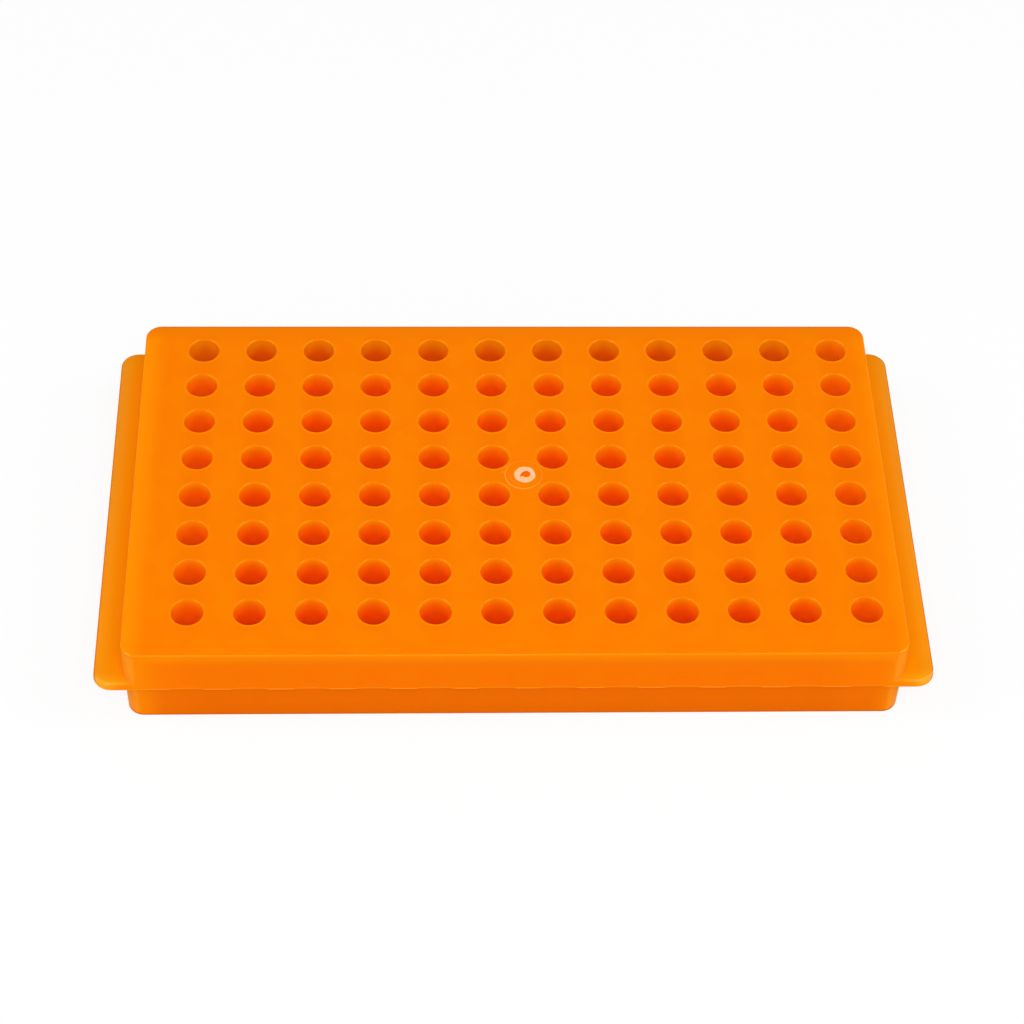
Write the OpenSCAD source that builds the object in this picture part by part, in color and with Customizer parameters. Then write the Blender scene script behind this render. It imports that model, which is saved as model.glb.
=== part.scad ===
// Reversible microcentrifuge tube rack, injection moulded in one piece.
// The deck side takes narrow tubes. Turned over, the same wells take wide tubes.
// Origin: centre of the footprint, on the plane that the rack stands on.
// +X runs along the columns to the right-hand handle, +Y to the back, +Z up.

/* [Well grid] */
// Number of wells along X
columns = 12; // [2:1:14]
// Number of wells along Y
rows = 8; // [2:1:10]
// Distance between columns
column_pitch = 16; // [15:0.5:24]
// Distance between rows
row_pitch = 13.5; // [12.5:0.5:24]
// First column's centre to the left wall
left_margin = 16.7; // [10:0.1:30]
// Last column's centre to the right wall
right_margin = 10.1; // [9.5:0.1:30]
// First row's centre to the front wall
front_margin = 14.75; // [10.5:0.05:30]
// Last row's centre to the back wall
back_margin = 9.85; // [9.5:0.05:30]

/* [Wells] */
// Diameter of the narrow bore, open through the deck
narrow_bore = 8.4; // [6:0.1:9.5]
// Diameter of the wide bore, open at the underside
wide_bore = 11.3; // [10.5:0.1:11.8]
// Thickness of the sleeve around the wide bore
sleeve_wall = 1.3; // [0.9:0.1:1.6]
// Rounding of the narrow bore's mouth
mouth_radius = 0.4; // [0.1:0.05:0.6]
// Lead-in chamfer of the wide bore's mouth
lead_in = 0.4; // [0.1:0.05:0.6]

/* [Body] */
// Height of the upper half, from the parting plane to the deck
upper_height = 13.5; // [8:0.5:30]
// Height of the lower half, from the base to the parting plane
lower_height = 12.5; // [6:0.1:30]
// Thickness of the deck
deck_thickness = 2.2; // [1.2:0.1:4]
// Thickness of the lower half's walls at the parting plane
wall = 2; // [1.2:0.1:2.4]
// Radius of the body's four upright corners
corner_radius = 4.5; // [3.5:0.5:8]
// Rounding of the deck's and the base's outer edges
edge_radius = 0.5; // [0.2:0.1:1.2]
// Inward lean of the outer walls, away from the parting plane
draft_angle = 0.9; // [0.2:0.1:2]
// How far the lower half's long walls are set in under the upper half's
ledge = 1; // [0.4:0.1:2]
// How far the lower half's end walls are set in
end_inset = 0.2; // [0.1:0.1:2]

/* [Handles] */
// Reach of each handle flange beyond the end wall
handle_reach = 7.6; // [4:0.1:20]
// Thickness of the handle flanges
handle_thickness = 2.3; // [1.6:0.1:5]
// Radius of the handle flanges' corners
handle_corner = 4.8; // [2:0.2:12]
// Rounding of the handle flanges' upper edge
handle_edge = 0.8; // [0.2:0.1:1.2]

/* [Ribs] */
// Thickness of the ribs between sleeves and walls
rib_thickness = 1.2; // [0.8:0.1:2]
// How far the ribs end above the base
rib_recess = 2; // [0.5:0.5:5]

/* [Moulding marks] */
// Height of the lip of flash above the parting plane
lip_height = 0.25; // [0.1:0.05:0.5]
// How far that lip stands proud of the wall
lip_reach = 0.12; // [0.04:0.02:0.3]
// Depth of the sink at the ledge, where a rib meets the long wall
sink_depth = 0.36; // [0.1:0.02:0.6]
// Width of a sink along the wall
sink_width = 9; // [4:0.5:12]
// Height over which a sink fades out above the ledge
sink_rise = 5; // [2:0.5:8]
// Diameter of the witness ring around the gate
gate_ring = 10; // [6:0.5:12]
// Width of the ring's ridge
gate_ridge = 0.4; // [0.2:0.1:0.8]
// Height of the ring's ridge above the deck
gate_ridge_height = 0.12; // [0.05:0.01:0.3]
// Radius of the shorter witness arc inside the ring
witness_radius = 3.5; // [2:0.1:4.5]
// Angle over which that arc runs
witness_sweep = 72; // [20:1:120]
// Height of the arc and of the tick beside the ring
witness_height = 0.08; // [0.04:0.01:0.2]
// Width of the arc and of the tick
witness_width = 0.3; // [0.2:0.05:0.5]
// Diameter of the pit where the sprue broke off
gate_pit = 2.3; // [1:0.1:4]
// Depth of that pit
gate_pit_depth = 0.4; // [0.1:0.1:1]
// How far the pit's torn tail runs
gate_tail = 1.6; // [0.4:0.1:2]

/* [Hidden] */
$fn = 64;
reach = 1; // how far a cutting shape runs past the surface it cuts
step = 0.02; // keeps a rounding from touching the plane it runs out on

total_height = lower_height + upper_height;
body_length = left_margin + (columns - 1) * column_pitch + right_margin;
body_width = front_margin + (rows - 1) * row_pitch + back_margin;
handle_length = body_length + 2 * handle_reach;
grid_x = (left_margin - right_margin) / 2;
grid_y = (front_margin - back_margin) / 2;
sleeve = wide_bore + 2 * sleeve_wall;
lower_length = body_length - 2 * end_inset;
lower_width = body_width - 2 * ledge;
cavity_length = lower_length - 2 * wall;
cavity_width = lower_width - 2 * wall;
cavity_corner = corner_radius - wall;
cavity_top = total_height - deck_thickness;
lean = tan(draft_angle);
sink_radius = (pow(sink_width / 2, 2) + pow(sink_depth, 2)) / (2 * sink_depth);

function column_x(i) = grid_x + (i - (columns - 1) / 2) * column_pitch;
function row_y(j) = grid_y + (j - (rows - 1) / 2) * row_pitch;

module at_wells() {
    for (i = [0:columns - 1], j = [0:rows - 1])
        translate([column_x(i), row_y(j)]) children();
}

// Half section of a drafted block's rim: x runs outwards from the corner's
// centre, y up from the parting plane. Its free edge is rounded.
module rim_section(radius, height, edge) {
    straight = height - edge;
    top = radius - lean * straight;
    polygon([[0, 0], [radius, 0], [top, straight], [top - edge, straight],
             [top - edge, height], [0, height]]);
    intersection() {
        translate([top - edge, straight]) circle(edge);
        translate([top - edge, straight]) square(edge);
    }
}

// Block with drafted walls, round corners and a rounded free edge, made by
// carrying the rim section round the rectangle of the corners' centres.
module drafted_block(length, width, radius, height, edge) {
    run = [length / 2 - radius, width / 2 - radius];
    for (turn = [0:3]) {
        along = turn % 2 == 0 ? run.x : run.y;
        across = turn % 2 == 0 ? run.y : run.x;
        rotate(90 * turn) {
            translate([along, across]) rotate_extrude(angle = 90) rim_section(radius, height, edge);
            translate([along, across]) rotate([90, 0, 0])
                linear_extrude(2 * across) rim_section(radius, height, edge);
        }
    }
    translate([-run.x, -run.y]) cube([2 * run.x, 2 * run.y, height]);
}

module rounded_plate(length, width, radius) {
    square([length - 2 * radius, width], center = true);
    square([length, width - 2 * radius], center = true);
    for (x = [-1, 1], y = [-1, 1])
        translate([x * (length / 2 - radius), y * (width / 2 - radius)]) circle(radius);
}

// Everything from the outside: two drafted halves, the handle flanges of the
// upper one, and the lip of flash where the mould's halves met.
module outer_form() {
    translate([0, 0, lower_height]) {
        drafted_block(body_length, body_width, corner_radius, upper_height, edge_radius);
        drafted_block(handle_length, body_width, handle_corner, handle_thickness, handle_edge);
        linear_extrude(lip_height) rounded_plate(handle_length + 2 * lip_reach,
                                                 body_width + 2 * lip_reach, handle_corner + lip_reach);
        mirror([0, 0, 1]) drafted_block(lower_length, lower_width, corner_radius, lower_height, edge_radius);
    }
}

// Ribs join the sleeves of a row to each other and to the end walls, and the
// first and last sleeves of a column to the long walls.
module rib_plan() {
    for (j = [0:rows - 1])
        translate([0, row_y(j)]) square([body_length - wall, rib_thickness], center = true);
    for (i = [0:columns - 1])
        translate([column_x(i), 0]) square([rib_thickness, body_width - wall], center = true);
}

module cavity_plan(ribs) {
    difference() {
        rounded_plate(cavity_length, cavity_width, cavity_corner);
        at_wells() circle(d = sleeve);
        if (ribs) rib_plan();
    }
}

module cavity() {
    translate([0, 0, rib_recess]) linear_extrude(cavity_top - rib_recess) cavity_plan(true);
    translate([0, 0, -reach]) linear_extrude(rib_recess + reach) cavity_plan(false);
}

// Section of the space that a well leaves: the wide bore with its lead-in up
// to the shoulder at the parting plane, then the narrow bore and its mouth.
module well_section() {
    wide = wide_bore / 2;
    narrow = narrow_bore / 2;
    polygon([[0, -reach], [wide + lead_in + reach, -reach], [wide, lead_in], [wide, lower_height],
             [narrow, lower_height], [narrow, total_height], [0, total_height]]);
    difference() {
        translate([0, total_height - mouth_radius - step])
            square([narrow + mouth_radius, mouth_radius + step + reach]);
        translate([narrow + mouth_radius, total_height - mouth_radius - step]) circle(mouth_radius);
    }
}

module wells() {
    at_wells() rotate_extrude() well_section();
}

// Shallow scoops along the ledge that die out on the wall above it.
module sinks() {
    for (side = [0, 1], i = [0:columns - 1])
        mirror([0, side, 0])
            translate([column_x(i), sink_depth - body_width / 2, lower_height])
                rotate([atan(sink_depth / sink_rise), 0, 0])
                    translate([0, -sink_radius, -reach]) cylinder(r = sink_radius, h = sink_rise + 2 * reach);
}

// Raised lines that the gate's insert left on the deck: a ring, a short arc
// inside it and a tick at its left.
module gate_witness() {
    translate([grid_x, grid_y, total_height - reach]) {
        difference() {
            cylinder(d = gate_ring + gate_ridge, h = reach + gate_ridge_height);
            cylinder(d = gate_ring - gate_ridge, h = reach + 2 * gate_ridge_height);
        }
        rotate(184) rotate_extrude(angle = witness_sweep) translate([witness_radius, 0])
            square([witness_width, reach + witness_height]);
        translate([-gate_ring / 2 - 4 * witness_width, 3 * witness_width, 0])
            cube([4 * witness_width, witness_width, reach + witness_height]);
    }
}

// Scar of the sprue: a round pit with a torn tail that narrows and curls away.
module gate_scar() {
    translate([grid_x + gate_pit / 3, grid_y + gate_pit / 6, total_height - gate_pit_depth])
        for (part = [0:0.25:1])
            translate([-gate_tail * part, -0.6 * gate_tail * pow(part, 3), 0])
                cylinder(d = gate_pit * (1 - 0.85 * part), h = reach);
}

module rack() {
    color([0.98, 0.49, 0.02]) difference() {
        union() {
            outer_form();
            gate_witness();
        }
        cavity();
        wells();
        sinks();
        gate_scar();
    }
}

rack();
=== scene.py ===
from math import pi, radians

import bmesh
import bpy
from mathutils import Matrix, Vector

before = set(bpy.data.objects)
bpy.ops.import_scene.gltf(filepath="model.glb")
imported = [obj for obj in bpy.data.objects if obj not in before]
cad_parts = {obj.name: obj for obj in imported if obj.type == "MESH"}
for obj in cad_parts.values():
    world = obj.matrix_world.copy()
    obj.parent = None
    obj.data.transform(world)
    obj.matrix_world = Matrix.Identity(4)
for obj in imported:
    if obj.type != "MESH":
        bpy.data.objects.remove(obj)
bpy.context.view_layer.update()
mm = 0.001


def feed(tree, socket, value):
    if isinstance(value, bpy.types.NodeSocket):
        tree.links.new(value, socket)
    else:
        socket.default_value = value


def mathNode(tree, operation, *values):
    node = tree.nodes.new("ShaderNodeMath")
    node.operation = operation
    for socket, value in zip(node.inputs, values):
        feed(tree, socket, value)
    return node.outputs[0]


# 0 where the value is at none and 1 where it is at full, with a smooth run between them
def ramp(tree, value, none, full):
    node = tree.nodes.new("ShaderNodeMapRange")
    node.interpolation_type = "SMOOTHSTEP"
    feed(tree, node.inputs["Value"], value)
    node.inputs["From Min"].default_value = min(none, full)
    node.inputs["From Max"].default_value = max(none, full)
    if none > full:
        node.inputs["To Min"].default_value, node.inputs["To Max"].default_value = 1, 0
    return node.outputs["Result"]


def both(tree, *masks):
    result = masks[0]
    for mask in masks[1:]:
        result = mathNode(tree, "MULTIPLY", result, mask)
    return result


def tint(tree, colour, mask, shade, blend="MIX"):
    node = tree.nodes.new("ShaderNodeMix")
    node.data_type = "RGBA"
    node.blend_type = blend
    feed(tree, node.inputs["Factor"], mask)
    feed(tree, node.inputs[6], colour)
    feed(tree, node.inputs[7], shade)
    return node.outputs[2]


def noise(tree, position, scale, detail):
    node = tree.nodes.new("ShaderNodeTexNoise")
    tree.links.new(position, node.inputs["Vector"])
    node.inputs["Scale"].default_value = scale
    node.inputs["Detail"].default_value = detail
    return node.outputs["Fac"]


def parts(tree, vector):
    split = tree.nodes.new("ShaderNodeSeparateXYZ")
    tree.links.new(vector, split.inputs[0])
    return split.outputs


def length(tree, along, across):
    squares = [mathNode(tree, "MULTIPLY", part, part) for part in (along, across)]
    return mathNode(tree, "SQRT", mathNode(tree, "ADD", *squares))


# 1 for the rays that show a surface: seen directly, mirrored or through glass
def seenRay(tree):
    path = tree.nodes.new("ShaderNodeLightPath")
    mirrored = mathNode(tree, "MAXIMUM", path.outputs["Is Camera Ray"], path.outputs["Is Glossy Ray"])
    return mathNode(tree, "MAXIMUM", mirrored, path.outputs["Is Transmission Ray"])


cameraSettings = {
    "place": (-26.95, -502.49, 585.67),  # mm, from the middle of the rack's foot
    "turn": (41.322, -1.462, -1.462),  # degrees
    "lens": 98.343,
    "sensor": 36.0,
    "farthest": 20.0,
}


def makeCamera(settings):
    data = bpy.data.cameras.new("camera")
    data.lens = settings["lens"]
    data.sensor_width = settings["sensor"]
    data.clip_end = settings["farthest"]
    camera = bpy.data.objects.new("camera", data)
    bpy.context.scene.collection.objects.link(camera)
    camera.location = Vector(settings["place"]) * mm
    camera.rotation_euler = [radians(angle) for angle in settings["turn"]]
    bpy.context.scene.camera = camera
    print("camera placed")


# Each softbox hangs in a direction from the rack, at a distance and of a size in metres.
# Its share is the part of a white sky's light that it gives to a flat surface at the rack.
lightSettings = {
    "sky": 0.22,
    "backdrop": (0.99, 0.99, 0.99, 1),
    "bounces": 32,  # saturated plastic keeps its red through many reflections inside a well
    "softboxes": {
        "overheadStrip": {"toward": (0, 0, 1), "along": (1, 0, 0), "distance": 1.7,
                          "size": (1.4, 0.3), "share": 0.06},
        "leftStrip": {"toward": (-0.49, -0.09, 0.84), "along": (-0.30, 0.30, -0.14), "distance": 1.6,
                      "size": (0.85, 0.08), "share": 0.08},
        "rightStrip": {"toward": (0.49, -0.09, 0.84), "along": (0.30, 0.30, -0.14), "distance": 1.6,
                       "size": (0.85, 0.08), "share": 0.09},
        "highFrontBox": {"toward": (0, -0.57, 0.82), "along": (1, 0, 0), "distance": 2.6,
                         "size": (1.9, 0.9), "share": 0.40},
        "lowFrontBox": {"toward": (0, -0.9, 0.42), "along": (1, 0, 0), "distance": 1.6,
                        "size": (1.4, 0.6), "share": 0.05},
        "leftSideBox": {"toward": (-0.76, -0.1, 0.64), "along": (0, 1, 0), "distance": 1.5,
                        "size": (0.8, 0.6), "share": 0.14},
        "rightSideBox": {"toward": (0.76, -0.1, 0.64), "along": (0, 1, 0), "distance": 1.5,
                         "size": (0.8, 0.6), "share": 0.15},
    },
}


def hangSoftbox(name, box):
    facing = Vector(box["toward"]).normalized()
    data = bpy.data.lights.new(name, "AREA")
    data.shape = "RECTANGLE"
    data.size, data.size_y = box["size"]
    data.energy = box["share"] * pi * pi * box["distance"] ** 2 / facing.z
    softbox = bpy.data.objects.new(name, data)
    bpy.context.scene.collection.objects.link(softbox)
    along = Vector(box["along"])
    along = (along - along.dot(facing) * facing).normalized()
    softbox.matrix_world = Matrix.Translation(facing * box["distance"]) @ Matrix(
        (along, facing.cross(along), facing)).transposed().to_4x4()


def makeLight(settings):
    world = bpy.data.worlds.new("studio")
    bpy.context.scene.world = world
    world.use_nodes = True
    nodes, links = world.node_tree.nodes, world.node_tree.links
    sky = nodes["Background"]
    sky.inputs["Color"].default_value = (1, 1, 1, 1)
    sky.inputs["Strength"].default_value = settings["sky"]
    backdrop = nodes.new("ShaderNodeBackground")
    backdrop.inputs["Color"].default_value = settings["backdrop"]
    mix = nodes.new("ShaderNodeMixShader")
    links.new(seenRay(world.node_tree), mix.inputs["Fac"])
    links.new(sky.outputs["Background"], mix.inputs[1])
    links.new(backdrop.outputs["Background"], mix.inputs[2])
    links.new(mix.outputs["Shader"], nodes["World Output"].inputs["Surface"])
    for name, box in settings["softboxes"].items():
        hangSoftbox(name, box)
    bpy.context.scene.cycles.diffuse_bounces = settings["bounces"]
    bpy.context.scene.cycles.max_bounces = settings["bounces"]
    print("lights hung")


floorSettings = {
    "size": 4.0,
    "colour": (0.75, 0.75, 0.75, 1),  # what it throws back at the rack
    "roughness": 0.9,
    "seen": (0.985, 0.985, 0.985, 1),
    "shadowShare": 0.10,  # how much of the rack's shadow shows on it
    "covered": (0.098, 0.055),  # half the part under the rack, which keeps all its shade
    "softEdge": 0.002,
}


# 1 on the part of the floor that the rack covers
def coveredPart(tree, settings):
    place = parts(tree, tree.nodes.new("ShaderNodeTexCoord").outputs["Object"])
    return both(tree, *[ramp(tree, mathNode(tree, "ABSOLUTE", along), reach + settings["softEdge"], reach)
                        for along, reach in zip(place, settings["covered"])])


def paleFloor(settings):
    material = bpy.data.materials.new("paleFloor")
    material.use_nodes = True
    tree = material.node_tree
    nodes, links = tree.nodes, tree.links
    paper = nodes["Principled BSDF"]
    paper.inputs["Base Color"].default_value = settings["colour"]
    paper.inputs["Roughness"].default_value = settings["roughness"]
    paper.inputs["Specular IOR Level"].default_value = 0.0
    shaded = nodes.new("ShaderNodeBsdfDiffuse")
    shaded.inputs["Color"].default_value = settings["seen"]
    bright = nodes.new("ShaderNodeEmission")
    bright.inputs["Color"].default_value = settings["seen"]
    white = nodes.new("ShaderNodeMixShader")
    white.inputs["Fac"].default_value = settings["shadowShare"]
    links.new(bright.outputs[0], white.inputs[1])
    links.new(shaded.outputs[0], white.inputs[2])
    uncovered = mathNode(tree, "SUBTRACT", 1.0, coveredPart(tree, settings))
    mix = nodes.new("ShaderNodeMixShader")
    links.new(both(tree, seenRay(tree), uncovered), mix.inputs["Fac"])
    links.new(paper.outputs["BSDF"], mix.inputs[1])
    links.new(white.outputs[0], mix.inputs[2])
    links.new(mix.outputs[0], nodes["Material Output"].inputs["Surface"])
    return material


def makeFloor(settings):
    mesh = bpy.data.meshes.new("floor")
    sheet = bmesh.new()
    bmesh.ops.create_grid(sheet, x_segments=1, y_segments=1, size=settings["size"] / 2)
    sheet.to_mesh(mesh)
    sheet.free()
    floor = bpy.data.objects.new("floor", mesh)
    bpy.context.scene.collection.objects.link(floor)
    mesh.materials.append(paleFloor(settings))
    print("floor laid")


# The rack's own sizes in mm, which the plastic's pattern follows
rackSizes = {
    "columnPitch": 16.0,
    "rowPitch": 13.5,
    "gridMiddle": (3.3, 2.45),
    "boreRadius": 4.2,
    "partingHeight": 12.5,
    "deckHeight": 26.0,
    "endWall": 101.3,  # half the body's length
    "longWall": 59.55,  # half the body's width
    "flangeThickness": 2.3,
    "litMiddle": 1.2,  # the painted light of the ends reaches farther in at the left
    "flowMarks": (0.11, 2.0),  # scale and detail of the noise behind the marks that flow leaves
}

# The gate's whitened disc and the raised lines around it, in mm from the rack's middle
gateSettings = {
    "place": (3.67, 2.61),
    "radius": 2.85,
    "fray": 0.5,  # how far its outline wanders
    "frayNoise": (0.5, 2.0),  # scale and detail, as for the streaks
    "streakNoise": (0.9, 3.0),
    "ringRadius": 5.0,
    "ringBand": (0.9, 0.3),  # distance from the ring at which a line's painted highlight is dim, and at which it is bright
    "dimShare": 0.35,  # what the lines inside the ring keep of its painted highlight
    "towardLight": (-0.5, -0.87),
}


# Distance in mm along one axis from the nearest well's middle, for an even number of wells
def wellOffset(tree, place, pitch):
    return mathNode(tree, "SUBTRACT", mathNode(tree, "FLOORED_MODULO", place, pitch), pitch / 2)


# Where a point of the rack's skin lies, in mm, and how it faces, from -1 to 1: sockets by name
def placesOnRack(tree, sizes):
    coordinates = tree.nodes.new("ShaderNodeTexCoord")
    scaled = tree.nodes.new("ShaderNodeVectorMath")
    scaled.operation = "SCALE"
    scaled.inputs["Scale"].default_value = 1 / mm
    tree.links.new(coordinates.outputs["Object"], scaled.inputs[0])
    position = scaled.outputs[0]
    x, y, z = parts(tree, position)
    facingX, facingY, facingZ = parts(tree, coordinates.outputs["Normal"])
    outside = mathNode(tree, "ABSOLUTE", x)
    overParting = mathNode(tree, "SUBTRACT", z, sizes["partingHeight"])
    gridX = mathNode(tree, "SUBTRACT", x, sizes["gridMiddle"][0])
    gridY = mathNode(tree, "SUBTRACT", y, sizes["gridMiddle"][1])
    fromColumn = wellOffset(tree, gridX, sizes["columnPitch"])
    fromRow = wellOffset(tree, gridY, sizes["rowPitch"])
    sideways = mathNode(tree, "ABSOLUTE", facingX)
    forwards = mathNode(tree, "MAXIMUM", mathNode(tree, "MULTIPLY", facingY, -1.0), 0.01)  # never zero
    return {
        "position": position,
        "x": x,
        "y": y,
        "height": z,
        "outside": outside,
        "litSide": mathNode(tree, "ABSOLUTE", mathNode(tree, "SUBTRACT", x, sizes["litMiddle"])),
        "pastEnd": mathNode(tree, "SUBTRACT", outside, sizes["endWall"]),
        "pastWall": mathNode(tree, "SUBTRACT", mathNode(tree, "ABSOLUTE", y), sizes["longWall"]),
        "pastBack": mathNode(tree, "SUBTRACT", y, sizes["longWall"]),
        "overDeck": mathNode(tree, "SUBTRACT", z, sizes["deckHeight"]),
        "overParting": overParting,
        "overFlange": mathNode(tree, "SUBTRACT", overParting, sizes["flangeThickness"]),
        "gridX": gridX,
        "gridY": gridY,
        "fromGridX": mathNode(tree, "ABSOLUTE", gridX),
        "fromGridY": mathNode(tree, "ABSOLUTE", gridY),
        "besideWell": mathNode(tree, "ABSOLUTE", fromColumn),
        "behindWell": fromRow,
        "fromBore": mathNode(tree, "SUBTRACT", length(tree, fromColumn, fromRow), sizes["boreRadius"]),
        "facingUp": facingZ,
        "facingBack": facingY,
        "frontOrBack": mathNode(tree, "ABSOLUTE", facingY),
        "sideways": sideways,
        "cornerTurn": mathNode(tree, "DIVIDE", sideways, forwards),
        "flow": noise(tree, position, *sizes["flowMarks"]),
    }


# The same around the gate, where the raised lines' painted highlight is brightest toward the light
def placesAtGate(tree, at, settings):
    gateX = mathNode(tree, "SUBTRACT", at["x"], settings["place"][0])
    gateY = mathNode(tree, "SUBTRACT", at["y"], settings["place"][1])
    inward = mathNode(tree, "SUBTRACT", length(tree, gateX, gateY), settings["fray"] / 2)
    frayed = mathNode(tree, "MULTIPLY_ADD", noise(tree, at["position"], *settings["frayNoise"]),
                      settings["fray"], inward)
    onRight, onBack = settings["towardLight"]
    fromRing = mathNode(tree, "SUBTRACT", length(tree, at["gridX"], at["gridY"]), settings["ringRadius"])
    onRing = ramp(tree, mathNode(tree, "ABSOLUTE", fromRing), *settings["ringBand"])
    dim = settings["dimShare"]
    return {
        "fromGate": mathNode(tree, "SUBTRACT", frayed, settings["radius"]),
        "streaks": noise(tree, at["position"], *settings["streakNoise"]),
        "towardLight": mathNode(tree, "MULTIPLY_ADD", gateX, onRight,
                                mathNode(tree, "MULTIPLY", gateY, onBack)),
        "lineShare": mathNode(tree, "MULTIPLY_ADD", onRing, 1 - dim, dim),
    }


# The plastic's colours, linear
plasticColours = {
    "body": (0.880, 0.190, 0.0005, 1),
    "bloom": (0.885, 0.201, 0.0006, 1),  # the paler patches that flow leaves
    "chain": (0.860, 0.179, 0.0005, 1),  # over the sleeves that run into each other
    # painted light at the deck's ends, painted shade at its back
    "deckEnd": (0.925, 0.254, 0.0012, 1),
    "deckBack": (0.820, 0.186, 0.0010, 1),
    # painted light under the deck's edge, painted shade on the upper wall
    "wallTop": (0.990, 0.245, 0.0010, 1),
    "upperWall": (0.960, 0.187, 0.0005, 1),
    "wallPatch": (0.970, 0.182, 0.0004, 1),  # behind the wall the last sleeves touch it
    # painted shade on the lower half
    "lowerWall": (0.860, 0.159, 0.0004, 1),
    "lowerTop": (0.999, 0.245, 0.0035, 1),  # a painted bright strip under the ledge, against its shade
    "lowerFoot": (0.940, 0.975, 1.000, 1),  # a multiplier of painted shade towards the foot, as the next two, of painted light, are
    # painted light near the upright corners, and on the sinks against their shade
    "wallNearEnd": (1.040, 1.090, 1.000, 1),
    "sink": (1.020, 1.035, 1.000, 1),
    # painted light at the walls' ends and upright corners
    "wallEnd": (0.999, 0.255, 0.0010, 1),
    "corner": (0.999, 0.300, 0.012, 1),
    # painted shade on the foot's rounding
    "footRise": (0.740, 0.150, 0.0010, 1),
    "foot": (0.740, 0.088, 0.0003, 1),
    # painted highlights on the parting line and its flash
    "ledgeLine": (0.990, 0.275, 0.003, 1),
    "flash": (0.970, 0.300, 0.022, 1),
    # the bores' painted light and shade, redder in their depth, yellower near the mouth
    "boreDepth": (0.999, 0.145, 0.0006, 1),
    "boreMiddle": (0.999, 0.215, 0.0010, 1),
    "boreEnd": (0.999, 0.240, 0.0010, 1),  # painted light: the end walls' light warms the outer columns
    "boreBack": (0.930, 1.200, 1.000, 1),  # a multiplier of painted shade: the last row stands in less light
    "boreRight": (1.000, 0.930, 1.000, 1),  # a multiplier of painted shade for the last column
    "boreTop": (0.999, 0.390, 0.0022, 1),
    "boreTopBack": (0.930, 0.320, 0.0020, 1),
    # the flanges' painted light and shade: shaded at the root, paler and yellower outwards, darker
    # towards the back
    "flangeRoot": (0.920, 0.252, 0.0008, 1),
    "flange": (0.870, 0.268, 0.0012, 1),
    "flangeOuter": (0.870, 0.300, 0.007, 1),
    "flangeBack": (0.790, 0.290, 0.014, 1),
    "flangeTip": (1.000, 1.200, 2.500, 1),  # a multiplier of painted light for the flanges' front ends
    # painted light on the flanges' front faces, painted shade on their sides, painted highlights along
    # their front edges
    "flangeFront": (0.999, 0.270, 0.0030, 1),
    "flangeFrontTip": (0.999, 0.420, 0.0170, 1),
    "flangeSide": (0.780, 0.155, 0.0010, 1),
    "flangeLip": (0.960, 0.265, 0.0140, 1),
    "flangeLipTip": (0.960, 0.385, 0.0560, 1),
    "rim": (0.900, 0.204, 0.0007, 1),  # a thin ring of painted light around each mouth
    "rimNear": (0.930, 0.232, 0.0010, 1),
    "mouth": (0.940, 0.182, 0.0010, 1),  # its rounding in painted light and shade: deep at the far side, paler at the others
    "mouthSide": (0.999, 0.285, 0.0040, 1),
    "mouthNear": (0.999, 0.250, 0.0020, 1),
    "edge": (0.950, 0.225, 0.006, 1),  # a painted highlight on the rounded edges
    "edgeSide": (0.999, 0.300, 0.003, 1),
    "glint": (0.990, 0.340, 0.022, 1),  # a painted glint where they turn to the front corners
    "mouthGlint": (0.960, 0.255, 0.010, 1),
    # painted shade on the far edges
    "farEdge": (0.740, 0.140, 0.0006, 1),
    "witness": (0.920, 0.220, 0.006, 1),  # raised lines around the gate
    # a painted highlight on the raised lines, toward the light
    "witnessLit": (0.940, 0.300, 0.026, 1),
    "gate": (0.890, 0.530, 0.290, 1),
    "gateStreak": (0.900, 0.500, 0.210, 1),
    "pit": (0.930, 0.138, 0.001, 1),
}

# Where a colour lies: masks by name, each the product of its terms. A term is the name of an earlier
# mask, or a place with the value where it is 0 and the value where it is 1, or ("not", mask), or
# ("either", mask, mask).
plasticMasks = {
    "inColumns": [("fromGridX", 97, 94)],
    "inGrid": ["inColumns", ("fromGridY", 55, 52)],
    "outerSkin": [("not", "inGrid")],
    "onDeck": [("overDeck", -0.25, -0.05)],
    "onWall": ["outerSkin", ("overDeck", -0.3, -1.5)],
    "lowerHalf": [("overParting", 0.1, -0.3)],
    "onLine": [("overParting", -0.1, 0), ("overParting", 0.45, 0.2)],
    "lastRow": [("y", 38, 48), ("x", 100, 80)],
    "inBore": ["inGrid", ("fromBore", 0.35, 0.15), ("overParting", -0.2, 0.2)],
    "inFlange": ["outerSkin", ("outside", 95, 96), ("overParting", -0.2, 0), ("overFlange", 0.3, 0.1)],
    "onFlange": ["inFlange", ("facingUp", 0.4, 0.8)],
    "onHandle": ["inFlange", ("pastEnd", -1, 0)],
    "atTip": [("pastEnd", 0.5, 5.5)],
    "toSide": [("sideways", 0.25, 0.6)],
    "toFront": [("facingBack", -0.15, -0.4)],
    "turned": [("facingUp", 0.985, 0.93)],
    "rounded": ["turned", ("facingUp", 0.35, 0.6)],
    "handleEdge": ["onHandle", ("either", "toSide", "toFront")],
    "backEdge": ["rounded", "outerSkin", ("facingBack", 0.2, 0.5)],
    "backStrip": ["onDeck", ("pastBack", -0.95, -0.7)],
    "atGate": [("fromGate", 0.15, -0.15)],
}


# One layer of colour, and the terms of the mask that it is laid through
def coat(colour, *where, blend="MIX"):
    return {"colour": colour, "where": where, "blend": blend}


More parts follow.
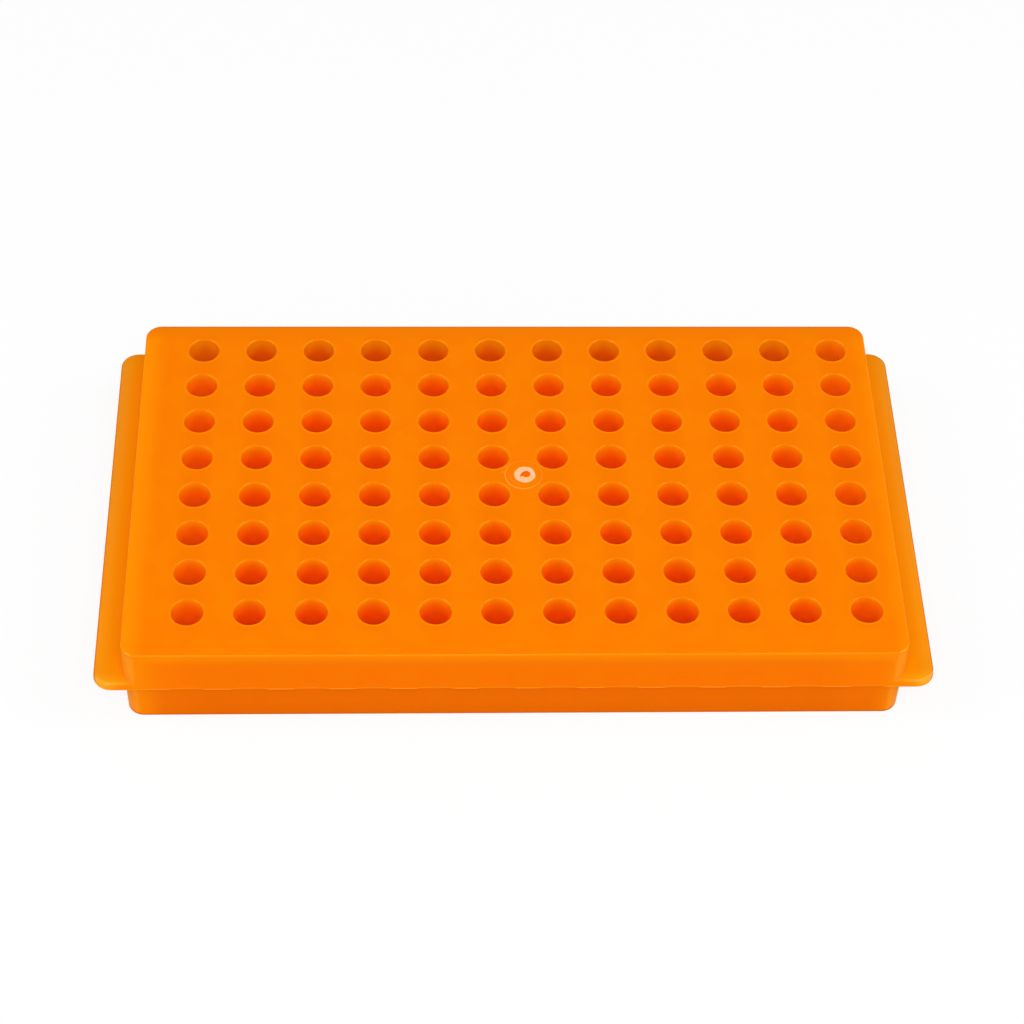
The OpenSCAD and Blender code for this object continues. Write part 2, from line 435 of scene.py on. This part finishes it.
# Colours that are mixed from others: a first colour, then coats over it
plasticMixes = {
    "boreTopMix": ["boreTop", coat("boreTopBack", "lastRow")],
    "bore": [
        "boreDepth",  # painted shade redder in their depth, painted light yellower near the mouth
        coat("boreMiddle", ("overDeck", -7, -2)),
        coat("boreEnd", ("outside", 68, 102)),
        coat("boreBack", "lastRow", blend="MULTIPLY"),
        coat("boreTopMix", ("overDeck", -2.8, 0.4)),
        coat("boreRight", ("x", 80, 90), ("y", 48, 38), blend="MULTIPLY"),
    ],
    # painted light, shade and highlights of the flanges
    "flangeRim": ["flangeOuter", coat("flangeBack", ("y", -45, 30))],
    "flangeFace": [
        "flangeFront",
        coat("flangeFrontTip", "atTip"),
        coat("flangeSide", ("sideways", 0.75, 0.98)),
    ],
    "flangeLipMix": ["flangeLip", coat("flangeLipTip", "atTip")],
    "flangeEdge": [
        "flangeRim",
        coat("flangeSide", ("facingUp", 0.93, 0.75)),
        coat("flangeLipMix", "toFront"),
    ],
    # painted light on the rims and mouths, painted highlights and glints on the edges
    "rimMix": ["rim", coat("rimNear", ("behindWell", -1.0, -3.5))],
    "mouthMix": [
        "mouth",
        coat("mouthSide", ("sideways", 0.2, 0.6)),
        coat("mouthNear", ("facingBack", 0.1, 0.4)),
    ],
    "edgeMix": ["edge", coat("edgeSide", "toSide"), coat("flangeEdge", "handleEdge")],
    "glintMix": ["glint", coat("mouthGlint", "inGrid")],
    "witnessMix": ["witness", coat("witnessLit", ("towardLight", -3.5, 5.5), "lineShare")],
    "gateMix": ["gate", coat("gateStreak", ("streaks", 0.4, 0.6))],
}

# What is laid over the body's colour, in this order
plasticCoats = [
    # the whole moulding: broad soft patches
    coat("bloom", ("flow", 0.42, 0.62)),
    # the deck: deeper along each column's sleeves, with painted light paler towards the ends and painted
    # shade at the back
    coat("chain", "inGrid", "onDeck", ("besideWell", 6.0, 1.5)),
    coat("deckEnd", "onDeck", ("litSide", 95.5, 102.5)),
    coat("deckBack", "onDeck", ("y", 52, 59)),
    # the walls: painted light under the deck's edge, painted shade on the upper wall, redder where a
    # sleeve stands behind them, then the lower half in painted shade, with a painted bright strip under
    # the ledge and painted shade at the foot
    coat("wallTop", ("overDeck", -0.05, -0.4)),
    coat("upperWall", ("overDeck", -0.3, -4.2)),
    coat("wallPatch", "inColumns", ("besideWell", 6.5, 2.0), ("overDeck", -3, -8)),
    coat("lowerWall", "lowerHalf"),
    coat("lowerTop", "lowerHalf", ("overParting", -1.4, -1.05)),
    coat("lowerFoot", ("height", 7, 1), blend="MULTIPLY"),
    # painted light: towards the upright corners and ends the walls catch the light of both sides, and the
    # sinks are painted paler against their shade
    coat("wallNearEnd", "onWall", ("outside", 78, 93), blend="MULTIPLY"),
    coat("sink", "onWall", ("overParting", 0, 0.3), ("facingUp", 0, -0.05), blend="MULTIPLY"),
    coat("wallEnd", "onWall", ("litSide", 91.5, 99.5)),
    coat("corner", "onWall", ("sideways", 0.15, 0.35), ("frontOrBack", 0.05, 0.3)),
    # painted shade darkens the foot's rounding; a painted highlight makes the parting line pale, and
    # palest on its flash
    coat("footRise", "outerSkin", ("height", 1.3, 0.5)),
    coat("foot", "outerSkin", ("height", 0.65, 0.35)),
    coat("ledgeLine", "onLine", ("pastWall", -0.9, -0.6)),
    coat("flash", "onLine", ("pastWall", 0, 0.08), ("outside", 100, 96)),
    # the bores in painted light and shade, under the mouths that come later
    coat("bore", "inBore"),
    # the flanges are thin, and painted light makes them paler and more yellow away from the body, over a
    # painted shade at the root
    coat("flangeRoot", "onFlange"),
    coat("flange", "onFlange", ("pastEnd", 0, 3.5)),
    coat("flangeRim", "onFlange", ("pastEnd", 3, 7.4)),
    coat("flangeTip", "onFlange", ("y", -54.8, -59.3), blend="MULTIPLY"),
    coat("flangeFace", "onHandle", ("facingUp", 0.8, 0.4)),
    # painted light and shade on the mouths and the rounded upper edges, of which the far one is painted
    # dark, with painted glints where they turn
    coat("rimMix", "inGrid", "onDeck", ("fromBore", 1.0, 0.5), ("behindWell", 4.0, 2.0)),
    coat("mouthMix", "inGrid", "turned", ("facingUp", 0.1, 0.35)),
    coat("edgeMix", "outerSkin", "rounded"),
    coat("glintMix", "rounded", ("cornerTurn", 0.25, 0.5), ("cornerTurn", 1.3, 0.9)),
    coat("farEdge", ("either", "backEdge", "backStrip")),
    # the gate: raised lines with a painted highlight toward the light, and a whitened disc around the pit
    # where the sprue broke off
    coat("witnessMix", "inGrid", ("overDeck", 0.02, 0.06)),
    coat("gateMix", "atGate", ("overDeck", -0.12, -0.04)),
    coat("pit", "atGate", ("overDeck", -0.1, -0.2)),
]


def maskOf(tree, at, terms):
    masks = []
    for term in terms:
        if isinstance(term, str):
            masks.append(at[term])
        elif term[0] == "not":
            masks.append(mathNode(tree, "SUBTRACT", 1.0, at[term[1]]))
        elif term[0] == "either":
            masks.append(mathNode(tree, "MAXIMUM", at[term[1]], at[term[2]]))
        else:
            place, none, full = term
            masks.append(ramp(tree, at[place], none, full))
    return both(tree, *masks)


def layCoats(tree, at, colour, coats):
    for layer in coats:
        mask = maskOf(tree, at, layer["where"])
        colour = tint(tree, colour, mask, colourOf(tree, at, layer["colour"]), layer["blend"])
    return colour


def colourOf(tree, at, name):
    if name not in plasticMixes:
        return plasticColours[name]
    first, *coats = plasticMixes[name]
    return layCoats(tree, at, colourOf(tree, at, first), coats)


# The satin skin and its relief, with depths in metres
skinSettings = {
    "roughness": 0.17,
    "specular": 0.006,
    "specularTint": (1.0, 0.6, 0.1, 1),
    "sheen": 0.06,  # how much of the gloss takes the plastic's own colour
    "relief": [
        {"noise": (0.16, 2.0), "strength": 0.25, "depth": 0.0002},  # a slow waviness
        {"noise": (6.0, 3.0), "strength": 0.15, "depth": 0.00001},  # and a fine grain on it
    ],
}


def reliefNormal(tree, position, layers):
    normal = None
    for layer in layers:
        bump = tree.nodes.new("ShaderNodeBump")
        bump.inputs["Strength"].default_value = layer["strength"]
        bump.inputs["Distance"].default_value = layer["depth"]
        tree.links.new(noise(tree, position, *layer["noise"]), bump.inputs["Height"])
        if normal:
            tree.links.new(normal, bump.inputs["Normal"])
        normal = bump.outputs["Normal"]
    return normal


def orangePolypropylene(sizes, gate, skin):
    material = bpy.data.materials.new("orangePolypropylene")
    material.use_nodes = True
    tree = material.node_tree
    at = placesOnRack(tree, sizes)
    at.update(placesAtGate(tree, at, gate))
    for name, terms in plasticMasks.items():
        at[name] = maskOf(tree, at, terms)
    colour = layCoats(tree, at, plasticColours["body"], plasticCoats)
    shader = tree.nodes["Principled BSDF"]
    tree.links.new(colour, shader.inputs["Base Color"])
    tree.links.new(reliefNormal(tree, at["position"], skin["relief"]), shader.inputs["Normal"])
    shader.inputs["Roughness"].default_value = skin["roughness"]
    shader.inputs["Specular IOR Level"].default_value = skin["specular"]
    shader.inputs["Specular Tint"].default_value = skin["specularTint"]
    shader.inputs["Metallic"].default_value = skin["sheen"]
    return material


def dressRack():
    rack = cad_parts["rack"]
    rack.data.materials.clear()
    rack.data.materials.append(orangePolypropylene(rackSizes, gateSettings, skinSettings))
    print("rack dressed", len(rack.data.polygons), "faces")


bpy.context.scene.view_settings.view_transform = "Standard"
makeCamera(cameraSettings)
makeLight(lightSettings)
makeFloor(floorSettings)
dressRack()
